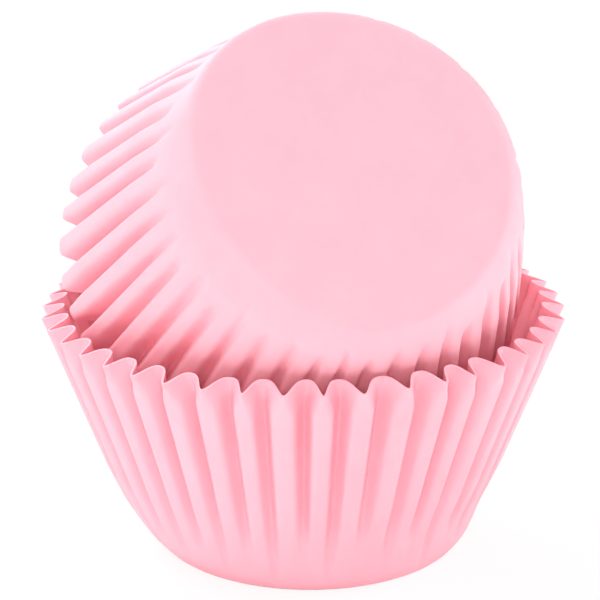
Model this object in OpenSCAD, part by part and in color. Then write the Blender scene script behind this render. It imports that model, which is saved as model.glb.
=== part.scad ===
// Two pleated paper baking cups: one stands upright, the other lies upturned and leaning in its mouth.
// The origin is the centre of the standing cup's flat base, +Z is up, and -Y is the front.
// Each cup is one disc of paper pressed into pleats, so its pleats deepen as its wall draws in.

/* [Paper] */
// Thickness of the paper
paper = 0.3; // [0.15:0.05:0.4]
// Diameter of the flat base, from crease to crease
base_d = 45; // [40:0.5:52]
// Length of the wall from the base crease to the cut edge, measured along the slope
wall_len = 38.8; // [34:0.2:44]

/* [Pleats] */
// Number of pleats round each cup
pleats = 42; // [36:1:48]
// Share of the spare paper that the pleats take up, the rest being lost in their round folds
fullness = 0.94; // [0.85:0.01:0.97]
// Unevenness of the pleats, as a share of their depth and pitch
uneven = 0.08; // [0:0.01:0.1]
// Way up the wall at which a long valley begins; long and short ones take turns
long_from = 1.5; // [0.5:0.1:3]
// Way up the wall at which a short valley begins
short_from = 8; // [4:0.5:10]

/* [Foot] */
// Slope of the wall where it leaves the base crease, above the horizontal
foot_slope = 42; // [30:1:50]
// Radius of the curve from the foot to the straight wall
foot_r = 11; // [8:0.2:14]

/* [Flare] */
// Lean of the standing cup's wall, away from its axis
lower_flare = 19.2; // [18:0.2:22]
// Lean of the upturned cup's wall, away from its axis
upper_flare = 12.2; // [10:0.2:13]

/* [Pose of the upturned cup] */
// Tilt of its base away from level
tilt = 53; // [48:0.5:56]
// Turn of the tilt towards the right, seen from above
turn = 16; // [0:1:360]
// Turn of the cup about its own axis
spin = -7.5; // [-180:0.5:180]
// Clearance where the two cups rest on each other
seat_gap = 0.05; // [0.02:0.01:0.2]

/* [Hidden] */
paper_colour = "#FBC4CF";
shade_colour = "#F8B4C2";

base_r = base_d / 2;
pleat_pitch = 360 / pleats;
// Facets of one pleat, and the share of the foot's curve at which the foot is creased into facets
pleat_steps = 6;
foot_share = 0.6;
columns = pleats * pleat_steps;
// Width of the flat band of the base between its plain middle and the crease
crease_band = 2;
// Stretch of the wall over which a valley deepens, and where the ridges leave the plain foot, more slowly
valley_rise = 4;
ridge_from = 4;
ridge_rise = 12;
// Roundness of the pleats: up the wall the ridges are broad and the valleys narrow. Over the last stretch to
// the cut edge this turns, so that the standing cup's edge is broad lobes with a narrow notch at each ridge.
wall_skew = 34;
lower_edge_skew = -34;
upper_edge_skew = 24;
edge_band = 4;
// Small step up the wall for its slope
step = 0.05;

// Mean surface of the wall, at a length s up the slope from the crease
function foot_turn(flare) = 90 - flare - foot_slope;
function foot_len(flare) = foot_r * foot_turn(flare) * PI / 180;
function slope(s, flare) = foot_slope + foot_turn(flare) * min(1, max(0, s / foot_len(flare)));
function above_foot(s, flare) = max(0, s - foot_len(flare));
function mean_r(s, flare) =
    base_r + foot_r * (sin(slope(s, flare)) - sin(foot_slope)) + above_foot(s, flare) * sin(flare);
function mean_z(s, flare) =
    paper / 2 + foot_r * (cos(foot_slope) - cos(slope(s, flare))) + above_foot(s, flare) * cos(flare);

// Depth of a pleat from ridge to valley: the disc's paper at this radius is folded into less room
function depth(s, flare) =
    fullness * PI / pleats * sqrt(max(0, pow(base_r + s, 2) - pow(mean_r(s, flare), 2)));

// Eases from 0 to 1 while x goes from 0 to 1
function ease(x) = let (t = min(1, max(0, x))) t * t * (3 - 2 * t);

// Hand-pressed pleats: their depth and their place round the cup vary a little
function depth_share(b) = 1 + uneven * (sin(4 * b + 50) + sin(9 * b + 160)) / 2;
function wander(b) = uneven * pleat_pitch * (sin(5 * b + 20) + 0.6 * sin(11 * b + 70));

// How far into a valley the paper lies, from 0 on the ridge to 1 on the valley's floor
function dip(b, s, edge_skew) =
    let (
        phase = pleats * b,
        skew = wall_skew + (edge_skew - wall_skew) * ease((s - wall_len + edge_band) / edge_band)
    )
    (1 - cos(phase - skew * sin(phase))) / 2;
function valley_from(b) = floor(b / pleat_pitch) % 2 == 0 ? long_from : short_from;

// Middle of the paper, b degrees round the cup and s millimetres up the wall
function middle(b, s, flare, edge_skew) =
    let (
        ridge = ease((s - ridge_from) / ridge_rise),
        valley = ease((s - valley_from(b)) / valley_rise),
        share = ridge - dip(b, s, edge_skew) * (ridge + valley),
        out = depth(s, flare) * depth_share(b) / 2 * share,
        r = mean_r(s, flare) + out * sin(slope(s, flare)),
        a = b + wander(b)
    )
    [r * cos(a), r * sin(a), mean_z(s, flare) - out * cos(slope(s, flare))];

// Outward normal of the facet beside b, towards the next column if way is 1 or the last one if it is -1
function unit(v) = v / norm(v);
function facet_normal(b, s, flare, edge_skew, way) =
    way * unit(cross(
        middle(b + way * 360 / columns, s, flare, edge_skew) - middle(b, s, flare, edge_skew),
        middle(b, s + step, flare, edge_skew) - middle(b, s - step, flare, edge_skew)
    ));

// One face of the paper, mitred between its facets: side is 1 outside and -1 inside
function face_point(b, s, flare, edge_skew, side) =
    s > 0
        ? let (
              here = facet_normal(b, s, flare, edge_skew, 1),
              last = facet_normal(b, s, flare, edge_skew, -1)
          )
          middle(b, s, flare, edge_skew) + side * paper / 2 * (here + last) / (1 + here * last)
        : let (r = base_r + side * paper / 2 * tan(foot_slope / 2), a = b + wander(b))
          [r * cos(a), r * sin(a), paper / 2 * (1 - side)];

// Rows of facets: the crease, the foot, where the short valleys are full, the edge band and the cut edge
function heights(flare) =
    [0, foot_share * foot_len(flare), short_from + valley_rise, wall_len - edge_band, wall_len];

// The pleated wall and the flat base under it, as one closed skin of even thickness
module pleated_shell(flare, edge_skew) {
    rows = heights(flare);
    count = len(rows);
    function at(side, row, column) = (side * count + row) * columns + column % columns;
    points = [
        for (side = [1, -1], s = rows, column = [0:columns - 1])
            face_point(column * 360 / columns, s, flare, edge_skew, side)
    ];
    outside = [
        for (i = [0:count - 2], j = [0:columns - 1])
            each [
                [at(0, i, j), at(0, i + 1, j), at(0, i + 1, j + 1)],
                [at(0, i, j), at(0, i + 1, j + 1), at(0, i, j + 1)]
            ]
    ];
    inside = [
        for (i = [0:count - 2], j = [0:columns - 1])
            each [
                [at(1, i, j), at(1, i + 1, j + 1), at(1, i + 1, j)],
                [at(1, i, j), at(1, i, j + 1), at(1, i + 1, j + 1)]
            ]
    ];
    top = count - 1;
    cut_edge = [
        for (j = [0:columns - 1])
            each [
                [at(0, top, j), at(1, top, j), at(1, top, j + 1)],
                [at(0, top, j), at(1, top, j + 1), at(0, top, j + 1)]
            ]
    ];
    under_base = [[for (j = [0:columns - 1]) at(0, 0, j)]];
    over_base = [[for (j = [columns - 1:-1:0]) at(1, 0, j)]];
    polyhedron(points, concat(outside, inside, cut_edge, under_base, over_base));
}

module cup(flare, edge_skew) {
    union() {
        pleated_shell(flare, edge_skew);
        // The plain middle of the base, inside the crease
        cylinder(h = paper, r = base_r - crease_band, $fn = 96);
    }
}

// Envelopes that the cups rest on: the outside over the ridges and the inside over the valleys
deepest = 1 + uneven;
function ridge_out(s, flare) = depth(s, flare) * deepest / 2 + paper / 2;
function ridge_r(s, flare) = mean_r(s, flare) + ridge_out(s, flare) * sin(slope(s, flare));
function ridge_z(s, flare) = mean_z(s, flare) - ridge_out(s, flare) * cos(slope(s, flare));
function valley_r(s, flare) = mean_r(s, flare) - ridge_out(s, flare) * sin(slope(s, flare));
function valley_z(s, flare) = mean_z(s, flare) + ridge_out(s, flare) * cos(slope(s, flare));

// Straight lines through those envelopes, from the top of the foot to the cut edge
function line_r(z, low, high) = low.x + (high.x - low.x) * (z - low.y) / (high.y - low.y);
lower_foot = [valley_r(foot_len(lower_flare), lower_flare), valley_z(foot_len(lower_flare), lower_flare)];
lower_edge = [valley_r(wall_len, lower_flare), valley_z(wall_len, lower_flare)];
upper_foot = [ridge_r(foot_len(upper_flare), upper_flare), ridge_z(foot_len(upper_flare), upper_flare)];
upper_edge = [ridge_r(wall_len, upper_flare), ridge_z(wall_len, upper_flare)];

// A gap counts only where the wall reaches, so beyond the wall's cut edge it is given as clear
clear = 100;

// The upturned cup's edge circle inside the standing cup's wall, for its centre at [along, up]
function edge_gap(along, up) = min([
    for (f = [-30:2.5:90])
        let (
            forward = along + upper_edge.x * sin(f) * cos(tilt),
            across = upper_edge.x * cos(f),
            z = up - upper_edge.x * sin(f) * sin(tilt)
        )
        z > lower_edge.y
            ? clear
            : (line_r(z, lower_foot, lower_edge) - norm([forward, across])) * cos(lower_flare)
]);

// The standing cup's edge circle outside the upturned cup's wall, for the same centre
function wall_gap(along, up, angles) = min([
    for (f = angles)
        let (
            forward = lower_edge.x * cos(f) - along,
            height = lower_edge.y - up,
            z = upper_edge.y - forward * sin(tilt) - height * cos(tilt),
            r = norm([forward * cos(tilt) - height * sin(tilt), lower_edge.x * sin(f)])
        )
        z > upper_edge.y
            ? clear
            : (r - line_r(z, upper_foot, upper_edge)) * cos(upper_flare)
]);
front_angles = [0:2.5:47.5];
side_angles = [50:2.5:120];

// The upturned cup comes down until its sides rest in the standing cup, and forward until its wall rests
// on the standing cup's edge. Each search halves its interval.
halvings = 15;
function height_at(along, low = lower_edge.y - base_r, high = lower_edge.y + base_r, n = halvings) =
    let (up = (low + high) / 2)
    n == 0
        ? up
        : min(edge_gap(along, up), wall_gap(along, up, side_angles)) > seat_gap
            ? height_at(along, low, up, n - 1)
            : height_at(along, up, high, n - 1);
function forward_at(low = -base_r, high = base_r, n = halvings) =
    let (along = (low + high) / 2)
    n == 0
        ? along
        : wall_gap(along, height_at(along), front_angles) > seat_gap
            ? forward_at(along, high, n - 1)
            : forward_at(low, along, n - 1);
seat_forward = forward_at();
seat_height = height_at(seat_forward);

module lower_cup() {
    color(paper_colour) cup(lower_flare, lower_edge_skew);
}

module upper_cup() {
    color(shade_colour)
        rotate([0, 0, turn])
            translate([0, -seat_forward, seat_height])
                rotate([180 + tilt, 0, 0])
                    translate([0, 0, -upper_edge.y])
                        rotate([0, 0, spin])
                            cup(upper_flare, upper_edge_skew);
}

lower_cup();
upper_cup();
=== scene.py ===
# Two pleated paper baking cups: one stands upright, the other lies upturned and leaning in its mouth.
import math
import random

import bpy
from mathutils import Matrix, Vector


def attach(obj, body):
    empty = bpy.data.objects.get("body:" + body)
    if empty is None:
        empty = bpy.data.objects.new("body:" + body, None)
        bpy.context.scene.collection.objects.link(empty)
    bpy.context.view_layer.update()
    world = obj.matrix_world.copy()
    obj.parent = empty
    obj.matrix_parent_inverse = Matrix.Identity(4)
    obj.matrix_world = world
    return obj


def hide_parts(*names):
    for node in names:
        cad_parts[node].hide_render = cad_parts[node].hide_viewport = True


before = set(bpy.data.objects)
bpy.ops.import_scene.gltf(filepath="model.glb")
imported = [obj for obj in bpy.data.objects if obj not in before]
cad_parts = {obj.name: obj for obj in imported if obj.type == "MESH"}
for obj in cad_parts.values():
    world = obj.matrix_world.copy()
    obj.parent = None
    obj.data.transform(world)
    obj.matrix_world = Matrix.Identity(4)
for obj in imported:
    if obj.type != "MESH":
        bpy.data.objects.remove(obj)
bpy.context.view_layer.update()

# The cups are drawn in millimetres, and MM turns them into metres.
MM = 0.001

# Paper and cup, as in the construction
PAPER = 0.3
BASE_R = 22.5
WALL_LEN = 38.8
PLEATS = 42
PITCH = 2 * math.pi / PLEATS
FULLNESS = 0.94
UNEVEN = 0.08
FOOT_SLOPE = math.radians(42)
FOOT_R = 11.0
LOWER_FLARE = math.radians(19.2)
UPPER_FLARE = math.radians(12.2)

# Pose of the upturned cup: its tilt, its turn to the right, its turn about its own axis, and the centre
# of its edge, forwards along the turn and up from the table
TILT = math.radians(53)
TURN = math.radians(16)
SPIN = math.radians(-7.5)
SEAT_FORWARD = -5.10
SEAT_HEIGHT = 40.74

# Stretches of the paper: the flat band inside the base crease, the rounding of the crease to each side,
# and the last of the wall, where the pleats change their shape towards the cut edge
BASE_BAND = 2.0
CREASE_SOFTNESS = 0.8
EDGE_BAND = 4.0

# Mesh: columns in one pleat, and rows up the crease, the foot, the wall and the last stretch to the edge
PLEAT_COLUMNS = 20
COLUMNS = PLEATS * PLEAT_COLUMNS
CREASE_ROWS = 4
FOOT_ROWS = 8
WALL_ROWS = 20
EDGE_ROWS = 11
# Folds sharper than this look sharp
SMOOTH_ANGLE = math.radians(50)

# Shape of a pleat: its ridge is broad and its valley narrow, and only at the standing cup's cut edge is
# the valley the broad one
WALL_SKEW = 0.8
LOWER_EDGE_SKEW = -0.55
UPPER_EDGE_SKEW = 0.6
# How much steeper than a wave the sides of a pleat stand, up the wall and at each cut edge
STEEPNESS = 0.15
LOWER_EDGE_STEEPNESS = 0.0
UPPER_EDGE_STEEPNESS = 0.3
# Where the valleys begin above the crease: long ones and short ones take turns round the cup
LOWER_STARTS = ((0.5, 3.5), (5.0, 12.0))
UPPER_STARTS = ((0.3, 2.5), (2.0, 6.0))
VALLEY_RISE = 4.0
# The ridges leave the plain foot later and more slowly
RIDGE_START = 4.0
RIDGE_RISE = 12.0
# Least depth of a valley as a share of the full one, and how far one pleat may wander off its place
SHALLOWEST = 0.82
PLEAT_WANDER = 0.07
LOWER_SEED = 11
UPPER_SEED = 29
# The unevenness round a cup, in the pleats' depth and in their place, as waves of (count, size, degrees)
DEPTH_WAVES = ((4, 0.5, 40), (9, 0.5, -70))
PLACE_WAVES = ((5, 1.0, 70), (11, 0.6, 20))
# Waver of the scissored edge: its height, and the two waves round the cup that make it
EDGE_WAVER = 0.12
WAVER_COUNT = 7
WAVER_SWELLS = 3
WAVER_PHASE = 1.0

# The base creases are out of round by waves of (count, millimetres, degrees), which die away up the foot
LOWER_CREASE = ((0, 0.45, 180), (1, 0.95, 0), (2, 0.3, 180))
LOWER_CREASE_REACH = 10.0
UPPER_CREASE = ((1, 0.95, -58), (2, 0.89, 133), (3, 0.53, -18))
UPPER_CREASE_REACH = 5.0
# The upturned cup's edge is pulled outwards and round a little at its upper left
PULL_OUT = 0.6
PULL_OUT_AT = math.radians(238)
PULL_OUT_NARROW = 8
PULL_ROUND = math.radians(2.0)
PULL_ROUND_AT = math.radians(250)
PULL_ROUND_NARROW = 20


def unit_step(x):
    """Eases from 0 to 1 as x goes from 0 to 1."""
    x = min(1.0, max(0.0, x))
    return x * x * (3 - 2 * x)


def swell(b, centre, narrowness):
    """One soft swell round a circle: 1 at its centre and 0 opposite."""
    return ((1 + math.cos(b - centre)) / 2) ** narrowness


def waves(b, parts):
    """The sum of waves round a circle, at the angle b."""
    return sum(size * math.cos(count * b - math.radians(turn)) for count, size, turn in parts)


def pleats_passed(b):
    """How many pleats lie between the start of the circle and the angle b, with a fraction."""
    return (b / (2 * math.pi) * PLEATS) % PLEATS


class CupShape:
    """The middle of the paper of one cup: its own pleats, in millimetres, base down on z = 0."""

    def __init__(self, flare, starts, edge_skew, edge_steepness, crease, crease_reach, pull, seed):
        self.flare = flare
        self.edge_skew = edge_skew
        self.edge_steepness = edge_steepness
        self.crease = crease
        self.crease_reach = crease_reach
        self.pull = pull
        self.foot_turn = math.pi / 2 - flare - FOOT_SLOPE
        self.foot_len = FOOT_R * self.foot_turn
        draw = random.Random(seed)
        self.valley_share = [draw.uniform(SHALLOWEST, 1.0) for _ in range(PLEATS)]
        self.valley_start = [draw.uniform(*starts[i % 2]) for i in range(PLEATS)]
        self.ridge_shift = [draw.uniform(-PLEAT_WANDER, PLEAT_WANDER) for _ in range(PLEATS)]
        self.edge_shift = [draw.uniform(-PLEAT_WANDER, PLEAT_WANDER) for _ in range(PLEATS)]

    def slope(self, s):
        """Angle of the unpleated wall above the table, s up the slope from the crease."""
        return FOOT_SLOPE + self.foot_turn * min(1.0, max(0.0, s / self.foot_len))

    def mean(self, s):
        """Radius and height of the unpleated wall, s up the slope from the crease."""
        slope = self.slope(s)
        above = max(0.0, s - self.foot_len)
        r = BASE_R + FOOT_R * (math.sin(slope) - math.sin(FOOT_SLOPE)) + above * math.sin(self.flare)
        z = PAPER / 2 + FOOT_R * (math.cos(FOOT_SLOPE) - math.cos(slope)) + above * math.cos(self.flare)
        return r, z

    def depth(self, s):
        """Ridge to valley: the disc's paper at this radius is folded into less room."""
        r, _ = self.mean(s)
        return FULLNESS * math.pi / PLEATS * math.sqrt(max(0.0, (BASE_R + s) ** 2 - r ** 2))

    def out_of_round(self, b, s):
        """How far the crease, and the foot near it, stand outside their circle."""
        return waves(b, self.crease) * (1 - unit_step(s / self.crease_reach))

    def pleat_out(self, b, s, to_edge):
        """How far a pleat moves the paper off the plain wall: outwards on a ridge, inwards in a valley."""
        turns = pleats_passed(b)
        pleat = int(turns) % PLEATS
        phase = 2 * math.pi * (turns - int(turns))
        skew = WALL_SKEW + (self.edge_skew - WALL_SKEW) * to_edge
        dip = (1 - math.cos(phase - skew * math.sin(phase))) / 2
        valley = self.valley_share[pleat] * unit_step((s - self.valley_start[pleat]) / VALLEY_RISE)
        ridge = unit_step((s - RIDGE_START) / RIDGE_RISE)
        half = self.depth(s) * (1 + UNEVEN * waves(b, DEPTH_WAVES)) / 2
        return half * (ridge - dip * (ridge + valley))

    def pleat_turn(self, b, s, to_edge):
        """How far round the cup a pleat moves the paper off its even spacing."""
        turns = pleats_passed(b)
        phase = 2 * math.pi * (turns - int(turns))
        shift = self.between(self.ridge_shift, turns) + to_edge * self.between(self.edge_shift, turns)
        steepness = STEEPNESS + (self.edge_steepness - STEEPNESS) * to_edge
        steep = steepness * math.sin(2 * phase) / (2 * math.pi)
        return PITCH * (UNEVEN * waves(b, PLACE_WAVES) + (shift + steep) * unit_step(s / RIDGE_RISE))

    @staticmethod
    def between(values, turns):
        """A value per pleat, eased from each pleat's middle to the next one's."""
        place = turns - 0.5
        low = math.floor(place)
        share = unit_step(place - low)
        return values[low % PLEATS] * (1 - share) + values[(low + 1) % PLEATS] * share

    def point(self, b, s):
        """The paper's middle, b round the cup and s up its wall."""
        if s <= 0:
            r = BASE_R + s + self.out_of_round(b, s)
            return Vector((r * math.cos(b), r * math.sin(b), PAPER / 2))
        to_edge = unit_step((s - WALL_LEN + EDGE_BAND) / EDGE_BAND)
        pull = self.pull * (s / WALL_LEN) ** 2
        waver = math.sin(WAVER_COUNT * b) * math.sin(WAVER_SWELLS * b + WAVER_PHASE)
        along = s + EDGE_WAVER * to_edge * waver
        slope = self.slope(along)
        out = self.pleat_out(b, s, to_edge)
        r, z = self.mean(along)
        r += out * math.sin(slope) + self.out_of_round(b, s)
        r += pull * PULL_OUT * swell(b, PULL_OUT_AT, PULL_OUT_NARROW)
        a = b + self.pleat_turn(b, s, to_edge)
        a -= pull * PULL_ROUND * swell(b, PULL_ROUND_AT, PULL_ROUND_NARROW)
        return Vector((r * math.cos(a), r * math.sin(a), z - out * math.cos(slope)))

    def softened(self, b, s):
        """The same point with the crease round the base rounded, as folded paper is."""
        if abs(s) >= CREASE_SOFTNESS:
            return self.point(b, s)
        t = (s / CREASE_SOFTNESS + 1) / 2
        inner, outer = self.point(b, -CREASE_SOFTNESS), self.point(b, CREASE_SOFTNESS)
        return (1 - t) ** 2 * inner + 2 * t * (1 - t) * self.point(b, 0) + t * t * outer

    def rows(self):
        """The places of the mesh's rows along the paper, from inside the crease to the cut edge."""
        crease = [CREASE_SOFTNESS * (2 * i / CREASE_ROWS - 1) for i in range(CREASE_ROWS + 1)]
        foot = [
            crease[-1] + (self.foot_len - crease[-1]) * i / FOOT_ROWS for i in range(1, FOOT_ROWS + 1)
        ]
        top = WALL_LEN - EDGE_BAND
        wall = [self.foot_len + (top - self.foot_len) * i / WALL_ROWS for i in range(1, WALL_ROWS + 1)]
        edge = [top + EDGE_BAND * i / EDGE_ROWS for i in range(1, EDGE_ROWS + 1)]
        return [-BASE_BAND] + crease + foot + wall + edge


def linear(hex_colour):
    """An sRGB hex colour as Blender's linear one."""
    parts = [int(hex_colour[i:i + 2], 16) / 255 for i in (1, 3, 5)]
    return [c / 12.92 if c <= 0.04045 else ((c + 0.055) / 1.055) ** 2.4 for c in parts] + [1.0]


def add_node(tree, kind, values=(), links=(), **settings):
    """Adds a node with its settings, its sockets' values and its links from other nodes' outputs."""
    node = tree.nodes.new(kind)
    for name, value in settings.items():
        setattr(node, name, value)
    for socket, value in values:
        node.inputs[socket].default_value = value
    for socket, source in links:
        tree.links.new(source, node.inputs[socket])
    return node


def new_material(name):
    """A material whose node tree is still empty."""
    material = bpy.data.materials.new(name)
    material.use_nodes = True
    material.node_tree.nodes.clear()
    return material, material.node_tree


# Sockets of the Mix node where it mixes colours, since it has a set of sockets for each kind of value
MIX_A = 6
MIX_B = 7
MIX_RESULT = 2

# The flat disc that a cup is pressed from lies in the UV map, which is this many millimetres wide
BLANK_MAP = 140.0
# Widths of the paper's clouds and fibres, and of the streaks along the pleats where they meet the cut edge
CLOUD_MM = 7.0
FIBRE_MM = 0.45
STREAK_MM = 1.1


def greaseproof_paper():
    """Dyed greaseproof paper, glazed between rollers: a soft satin face, cloudy with fibres against light."""
    material, tree = new_material("dyed_greaseproof_paper")
    uv = add_node(tree, "ShaderNodeUVMap", uv_map="blank")
    place = add_node(
        tree, "ShaderNodeMapping",
        values=[("Location", (-BLANK_MAP / 2, -BLANK_MAP / 2, 0)), ("Scale", (BLANK_MAP,) * 3)],
        links=[("Vector", uv.outputs["UV"])],
    )
    cloud = add_node(
        tree, "ShaderNodeTexNoise",
        values=[("Scale", 1 / CLOUD_MM), ("Detail", 3.0), ("Roughness", 0.6)],
        links=[("Vector", place.outputs["Vector"])],
    )
    fibre = add_node(
        tree, "ShaderNodeTexNoise",
        values=[("Scale", 1 / FIBRE_MM), ("Detail", 2.0), ("Roughness", 0.7)],
        links=[("Vector", place.outputs["Vector"])],
    )
    ray = add_node(
        tree, "ShaderNodeVectorMath", operation="NORMALIZE", links=[(0, place.outputs["Vector"])]
    )
    streak = add_node(
        tree, "ShaderNodeTexNoise",
        values=[("Scale", (BASE_R + WALL_LEN) / STREAK_MM), ("Detail", 1.0)],
        links=[("Vector", ray.outputs["Vector"])],
    )
    dye = add_node(
        tree, "ShaderNodeMix", data_type="RGBA",
        values=[(MIX_A, linear("#FFADBA")), (MIX_B, linear("#FFB8C4"))],
        links=[("Factor", cloud.outputs["Fac"])],
    )
    streak_bump = add_node(
        tree, "ShaderNodeBump",
        values=[("Strength", 0.25), ("Distance", 0.06 * MM)],
        links=[("Height", streak.outputs["Fac"])],
    )
    fibre_bump = add_node(
        tree, "ShaderNodeBump",
        values=[("Strength", 0.3), ("Distance", 0.03 * MM)],
        links=[("Height", fibre.outputs["Fac"]), ("Normal", streak_bump.outputs["Normal"])],
    )
    shader = add_node(
        tree, "ShaderNodeBsdfPrincipled",
        values=[
            ("Roughness", 0.55),
            ("Specular IOR Level", 0.35),
            ("Subsurface Weight", 0.5),
            ("Subsurface Radius", (1.0, 0.9, 0.9)),
            ("Subsurface Scale", 0.3 * MM),
        ],
        links=[("Base Color", dye.outputs[MIX_RESULT]), ("Normal", fibre_bump.outputs["Normal"])],
    )
    add_node(tree, "ShaderNodeOutputMaterial", links=[("Surface", shader.outputs["BSDF"])])
    return material


def cut_paper_edge_painted_highlight():
    """The scissored edge of the same paper: quite matt from its open fibres, its paler pink a painted
    highlight along the edge.
    """
    material, tree = new_material("cut_edge_with_painted_highlight")
    coordinates = add_node(tree, "ShaderNodeTexCoord")
    fibre = add_node(
        tree, "ShaderNodeTexNoise",
        values=[("Scale", 1 / (FIBRE_MM * MM)), ("Detail", 2.0)],
        links=[("Vector", coordinates.outputs["Object"])],
    )
    # Paler pinks than the paper's face: a painted highlight along the cut edge, mixed by fibre noise
    colour = add_node(
        tree, "ShaderNodeMix", data_type="RGBA",
        values=[(MIX_A, linear("#FFBAC7")), (MIX_B, linear("#FFC5D0"))],
        links=[("Factor", fibre.outputs["Fac"])],
    )
    shader = add_node(
        tree, "ShaderNodeBsdfPrincipled",
        values=[("Roughness", 0.85), ("Specular IOR Level", 0.2)],
        links=[("Base Color", colour.outputs[MIX_RESULT])],
    )
    add_node(tree, "ShaderNodeOutputMaterial", links=[("Surface", shader.outputs["BSDF"])])
    return material


def press_cup(name, shape, materials):
    """A disc of paper drawn up row by row from its base, pressed into pleats and given its thickness."""
    rows = shape.rows()
    r, z = BASE_R + rows[0], PAPER / 2
    bpy.ops.object.select_all(action="DESELECT")
    bpy.ops.mesh.primitive_circle_add(
        vertices=COLUMNS, radius=r * MM, fill_type="NGON", location=(0, 0, z * MM)
    )
    cup = bpy.context.object
    cup.name = cup.data.name = name
    bpy.ops.object.mode_set(mode="EDIT")
    bpy.ops.mesh.select_mode(type="EDGE")
    for s in rows[1:]:
        next_r, next_z = shape.mean(s) if s > 0 else (BASE_R + s, PAPER / 2)
        bpy.ops.mesh.extrude_edges_move(TRANSFORM_OT_translate={"value": (0, 0, (next_z - z) * MM)})
        grow = next_r / r
        bpy.ops.transform.resize(value=(grow, grow, 1), center_override=(0, 0, next_z * MM))
        r, z = next_r, next_z
    bpy.ops.object.mode_set(mode="OBJECT")
    press_pleats(cup.data, shape, rows)
    bpy.ops.object.transform_apply(location=True, rotation=True, scale=True)
    bpy.ops.object.mode_set(mode="EDIT")
    bpy.ops.mesh.select_all(action="SELECT")
    bpy.ops.mesh.normals_make_consistent(inside=False)
    bpy.ops.object.mode_set(mode="OBJECT")
    for material in materials:
        cup.data.materials.append(material)
    thick = cup.modifiers.new("paper", "SOLIDIFY")
    thick.thickness = PAPER * MM
    thick.offset = 0
    thick.use_even_offset = True
    thick.use_quality_normals = True
    # The cut edge takes the second material
    thick.material_offset_rim = 1
    bpy.ops.object.modifier_apply(modifier=thick.name)
    bpy.ops.object.shade_smooth_by_angle(angle=SMOOTH_ANGLE)
    return cup


def press_pleats(mesh, shape, rows):
    """Moves each point of the plain wall to its place in the pleats, and lays the flat disc in the UV map."""
    blank = mesh.uv_layers.new(name="blank")
    flat = []
    for vertex in mesh.vertices:
        s = rows[vertex.index // COLUMNS]
        b = math.atan2(vertex.co.y, vertex.co.x)
        reach = (BASE_R + s) / BLANK_MAP
        flat.append((0.5 + reach * math.cos(b), 0.5 + reach * math.sin(b)))
        place = shape.softened(b, s) * MM
        vertex.co = (place.x, place.y, place.z - PAPER / 2 * MM)
    for loop in mesh.loops:
        blank.data[loop.index].uv = flat[loop.vertex_index]
    mesh.update()


def lay_upturned(cup, shape):
    """Turns the cup over, leans it and sets it down in the standing one."""
    ridge_out = (shape.depth(WALL_LEN) * (1 + UNEVEN) + PAPER) / 2
    edge_height = shape.mean(WALL_LEN)[1] - ridge_out * math.sin(shape.flare)
    cup.matrix_world = (
        Matrix.Rotation(TURN, 4, "Z")
        @ Matrix.Translation((0, -SEAT_FORWARD * MM, SEAT_HEIGHT * MM))
        @ Matrix.Rotation(math.pi + TILT, 4, "X")
        @ Matrix.Translation((0, 0, -edge_height * MM))
        @ Matrix.Rotation(SPIN, 4, "Z")
    )
    bpy.ops.object.select_all(action="DESELECT")
    cup.select_set(True)
    bpy.context.view_layer.objects.active = cup
    bpy.ops.object.transform_apply(location=True, rotation=True, scale=True)


def make_cups():
    """Both cups of the same paper, in the places of the two cups of the construction."""
    materials = [greaseproof_paper(), cut_paper_edge_painted_highlight()]
    lower_shape = CupShape(
        LOWER_FLARE, LOWER_STARTS, LOWER_EDGE_SKEW, LOWER_EDGE_STEEPNESS,
        LOWER_CREASE, LOWER_CREASE_REACH, pull=0, seed=LOWER_SEED
    )
    lower = press_cup("lower_cup_paper", lower_shape, materials)
    upper_shape = CupShape(
        UPPER_FLARE, UPPER_STARTS, UPPER_EDGE_SKEW, UPPER_EDGE_STEEPNESS,
        UPPER_CREASE, UPPER_CREASE_REACH, pull=1, seed=UPPER_SEED
    )
    upper = press_cup("upper_cup_paper", upper_shape, materials)
    lay_upturned(upper, upper_shape)
    for cup, node_name in ((lower, "lower_cup"), (upper, "upper_cup")):
        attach(cup, "root")
        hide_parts(node_name)


FLOOR_SIZE = 12.0
# How much of plain white the camera sees in the floor; the rest is its card with the cups' shadow
FLOOR_WHITE = 0.85


def make_floor():
    """A large pale table top, which keeps the cups' soft shadow."""
    bpy.ops.object.select_all(action="DESELECT")
    bpy.ops.mesh.primitive_plane_add(size=FLOOR_SIZE, location=(0, 0, 0))
    floor = bpy.context.object
    floor.name = "floor"
    material, tree = new_material("white_card_floor")
    card = add_node(tree, "ShaderNodeBsdfDiffuse", values=[("Color", linear("#FCFCFC"))])
    white = add_node(tree, "ShaderNodeEmission", values=[("Strength", 1.0)])
    path = add_node(tree, "ShaderNodeLightPath")
    share = add_node(
        tree, "ShaderNodeMath", operation="MULTIPLY",
        values=[(1, FLOOR_WHITE)], links=[(0, path.outputs["Is Camera Ray"])],
    )
    shader = add_node(
        tree, "ShaderNodeMixShader",
        links=[(0, share.outputs["Value"]), (1, card.outputs["BSDF"]), (2, white.outputs["Emission"])],
    )
    add_node(tree, "ShaderNodeOutputMaterial", links=[("Surface", shader.outputs["Shader"])])
    floor.data.materials.append(material)


# Lights: a white room all round, large soft lamps high on the left, behind and at both sides, and a small
# one close over the camera, which looks into the gap between the cups
ROOM_STRENGTH = 0.5
WHITE = (1, 1, 1, 1)
AIM = Vector((0, 0, 0.04))


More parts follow.
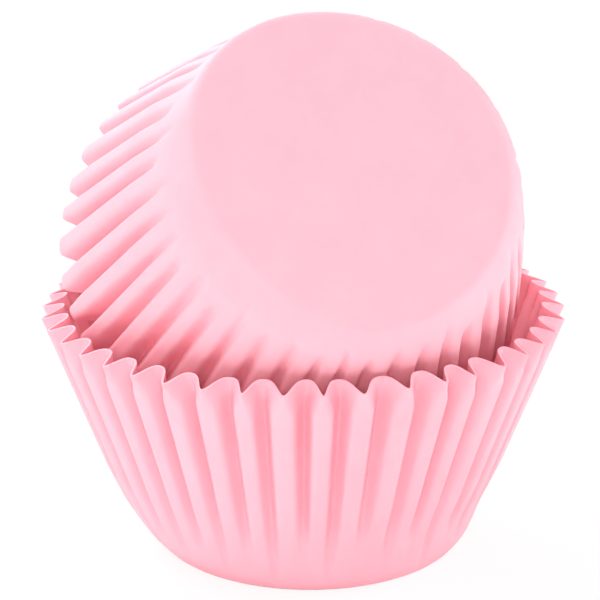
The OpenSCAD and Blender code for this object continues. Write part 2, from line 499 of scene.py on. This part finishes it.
def make_lights():
    """The white room, which the camera sees as plain white, and the lamps."""
    world = bpy.data.worlds.new("white_room")
    bpy.context.scene.world = world
    world.use_nodes = True
    tree = world.node_tree
    tree.nodes.clear()
    room = add_node(tree, "ShaderNodeBackground", values=[("Color", WHITE), ("Strength", ROOM_STRENGTH)])
    backdrop = add_node(tree, "ShaderNodeBackground", values=[("Color", WHITE), ("Strength", 1.0)])
    path = add_node(tree, "ShaderNodeLightPath")
    mix = add_node(
        tree, "ShaderNodeMixShader",
        links=[
            (0, path.outputs["Is Camera Ray"]),
            (1, room.outputs["Background"]),
            (2, backdrop.outputs["Background"]),
        ],
    )
    add_node(tree, "ShaderNodeOutputWorld", links=[("Surface", mix.outputs["Shader"])])
    add_lamp("key_lamp", place=(-0.42, 0.19, 0.85), size=0.6, power=4.3)
    add_lamp("back_lamp", place=(-0.35, 0.80, 0.45), size=0.6, power=4.6)
    add_lamp("camera_lamp", place=(0.0, -0.48, 0.21), size=0.12, power=0.96)
    add_lamp("left_lamp", place=(-0.85, -0.25, 0.40), size=0.6, power=2.4)
    add_lamp("right_lamp", place=(0.85, 0.12, 0.38), size=0.6, power=4.8)


def add_lamp(name, place, size, power):
    """A square soft lamp, turned towards the middle of the cups."""
    lamp = bpy.data.lights.new(name, "AREA")
    lamp.size = size
    lamp.energy = power
    holder = bpy.data.objects.new(name, lamp)
    bpy.context.collection.objects.link(holder)
    holder.location = place
    holder.rotation_euler = (AIM - holder.location).to_track_quat("-Z", "Y").to_euler()


# Camera: at the photograph's angle, which looks down a little along +Y
VIEW_ELEVATION = math.radians(18.6)
VIEW_DISTANCE = 0.450
VIEW_TARGET = Vector((-0.0005, 0.0056, 0.0346))
FOCAL_PIXELS = 3029
IMAGE_PIXELS = 600
SENSOR_WIDTH = 36.0
CLIP_START = 0.01


def make_camera():
    """The camera that took the photograph, as the outline of the cups gives it."""
    data = bpy.data.cameras.new("camera")
    data.sensor_width = SENSOR_WIDTH
    data.lens = FOCAL_PIXELS / IMAGE_PIXELS * SENSOR_WIDTH
    data.clip_start = CLIP_START
    camera = bpy.data.objects.new("camera", data)
    bpy.context.collection.objects.link(camera)
    back = Vector((0, -math.cos(VIEW_ELEVATION), math.sin(VIEW_ELEVATION)))
    camera.location = VIEW_TARGET + back * VIEW_DISTANCE
    camera.rotation_euler = (math.pi / 2 - VIEW_ELEVATION, 0, 0)
    bpy.context.scene.camera = camera


make_camera()
make_cups()
make_floor()
make_lights()
bpy.context.scene.view_settings.view_transform = "Standard"
